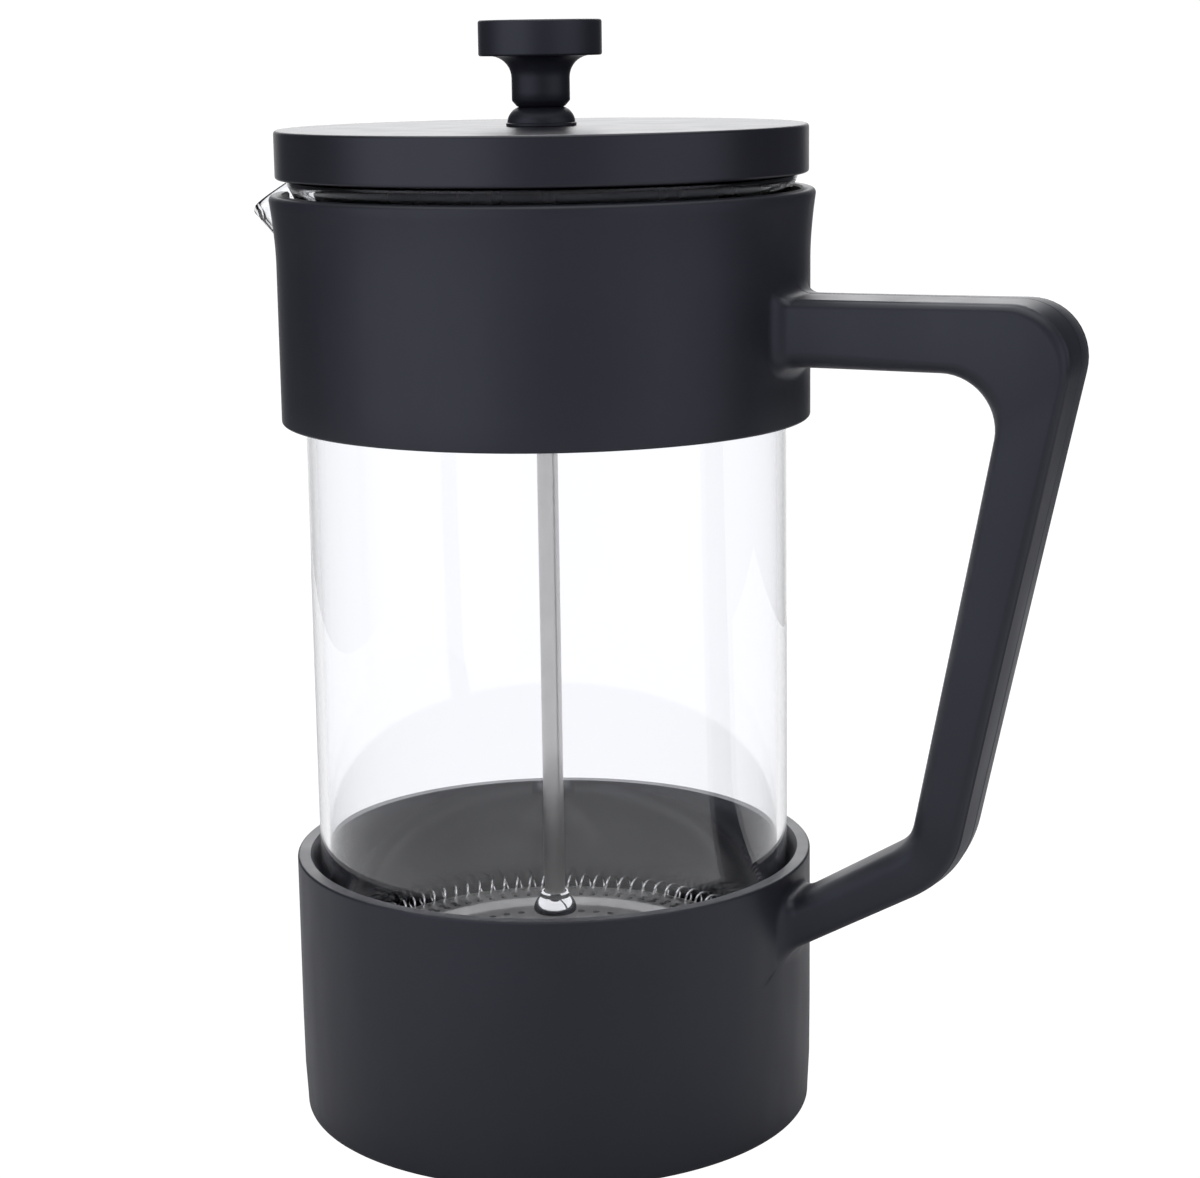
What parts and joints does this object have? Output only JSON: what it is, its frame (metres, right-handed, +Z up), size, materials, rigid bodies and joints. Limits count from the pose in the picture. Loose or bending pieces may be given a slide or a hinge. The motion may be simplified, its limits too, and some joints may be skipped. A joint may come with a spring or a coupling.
{
  "type": "french press",
  "caption": "Cafetiere with a glass beaker in a one-piece plastic frame, a turning lid and a plunger with a sprung steel filter.",
  "frame": {"origin": "on the beaker's axis at the underside of the base", "axes": "+Z up along the beaker's axis, +X towards the handle, -X towards the pouring lip"},
  "size_m": [0.1796, 0.112, 0.2298],
  "materials": {
    "black_plastic": "satin moulded",
    "dark_plastic": "semi-gloss moulded",
    "clear_glass": "clear blown glass",
    "grey_silicone": "matt",
    "satin_steel": "satin",
    "polished_steel": "polished",
    "woven_steel": "fine wire weave"
  },
  "bodies": {
    "frame": {"frame": "black_plastic", "beaker_cushion": "grey_silicone"},
    "beaker": {"beaker": "clear_glass"},
    "bush": {"guide_bush": "black_plastic", "bush_nut": "black_plastic"},
    "lid": {"lid_cover": "black_plastic", "lid_insert": "dark_plastic"},
    "plunger": {"plunger_rod": "satin_steel", "knob": "black_plastic", "knob_insert": "satin_steel", "ball_nut": "polished_steel", "spiral_plate": "polished_steel", "spring_coil": "polished_steel", "mesh_screen": "woven_steel", "cross_plate": "satin_steel", "hub_nut": "satin_steel"}
  },
  "joints": [
    {"name": "beaker_lift", "type": "slide", "parent": "frame", "child": "beaker", "axis": [0, 0, 1], "range_m": [0, 0.2]},
    {"name": "lid_lift", "type": "slide", "parent": "beaker", "child": "bush", "axis": [0, 0, 1], "range_m": [0, 0.18]},
    {"name": "lid_turn", "type": "hinge", "parent": "bush", "child": "lid", "pos_m": [0, 0, 0.2], "axis": [0, 0, 1], "continuous": true},
    {"name": "plunger_slide", "type": "slide", "parent": "bush", "child": "plunger", "axis": [0, 0, 1], "range_m": [0, 0.145]}
  ]
}
